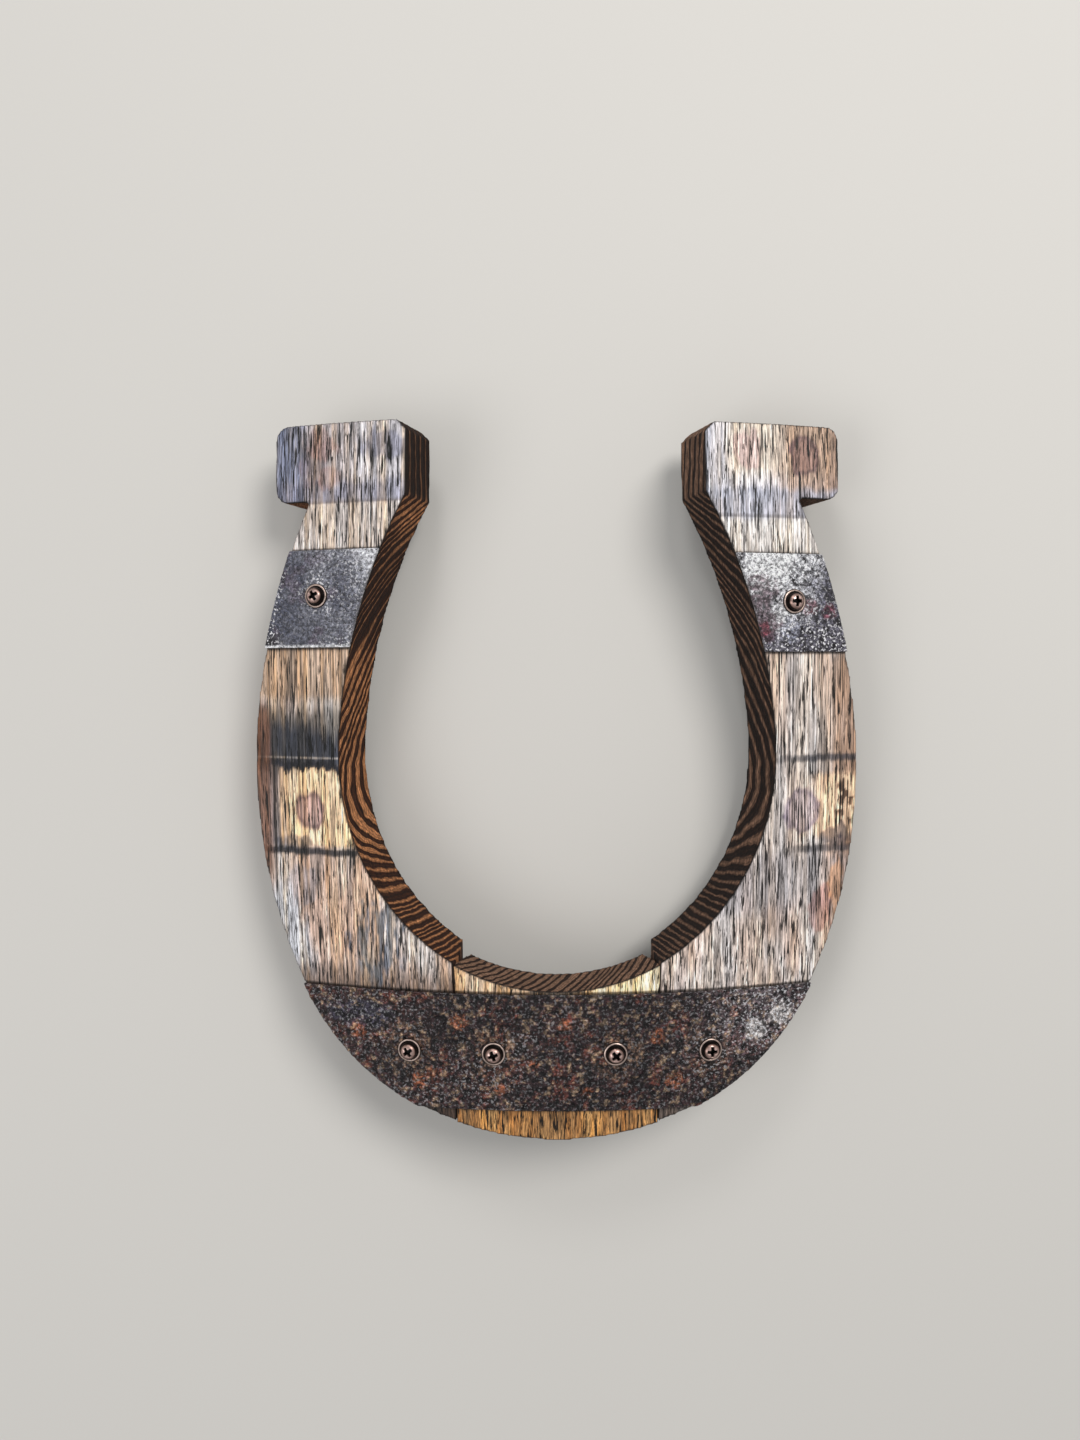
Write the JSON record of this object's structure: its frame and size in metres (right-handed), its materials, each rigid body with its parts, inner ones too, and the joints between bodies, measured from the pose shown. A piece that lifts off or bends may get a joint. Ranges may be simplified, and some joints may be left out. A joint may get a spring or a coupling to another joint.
{
  "type": "decorative horseshoe",
  "caption": "Decorative wall horseshoe sawn from glued oak barrel staves, with rusty hoop-steel strips screwed across the toe and arms and a hooked heel on each arm.",
  "frame": {"origin": "centre of the bounding box at the height of the surface it rests on, front up", "axes": "+Y from the toe towards the open heels, +Z out of the bulging front, +X to the right"},
  "size_m": [0.2616, 0.3048, 0.0526],
  "materials": {
    "left_stave_wood": "weathered and scorched oak under clear varnish",
    "centre_stave_wood": "golden oak under clear varnish",
    "right_stave_wood": "pale weathered oak under clear varnish",
    "arm_band_steel": "blotchy old galvanised steel, clear coated",
    "toe_band_steel": "deeply pitted rusty steel, glossy clear coat",
    "screw_bronze": "dark antique bronze, satin"
  },
  "bodies": {
    "root": {"left_stave": "left_stave_wood", "centre_stave": "centre_stave_wood", "right_stave": "right_stave_wood", "left_band": "arm_band_steel", "right_band": "arm_band_steel", "toe_band": "toe_band_steel", "left_band_screw": "screw_bronze", "right_band_screw": "screw_bronze", "toe_band_screw_1": "screw_bronze", "toe_band_screw_2": "screw_bronze", "toe_band_screw_3": "screw_bronze", "toe_band_screw_4": "screw_bronze"}
  },
  "joints": []
}
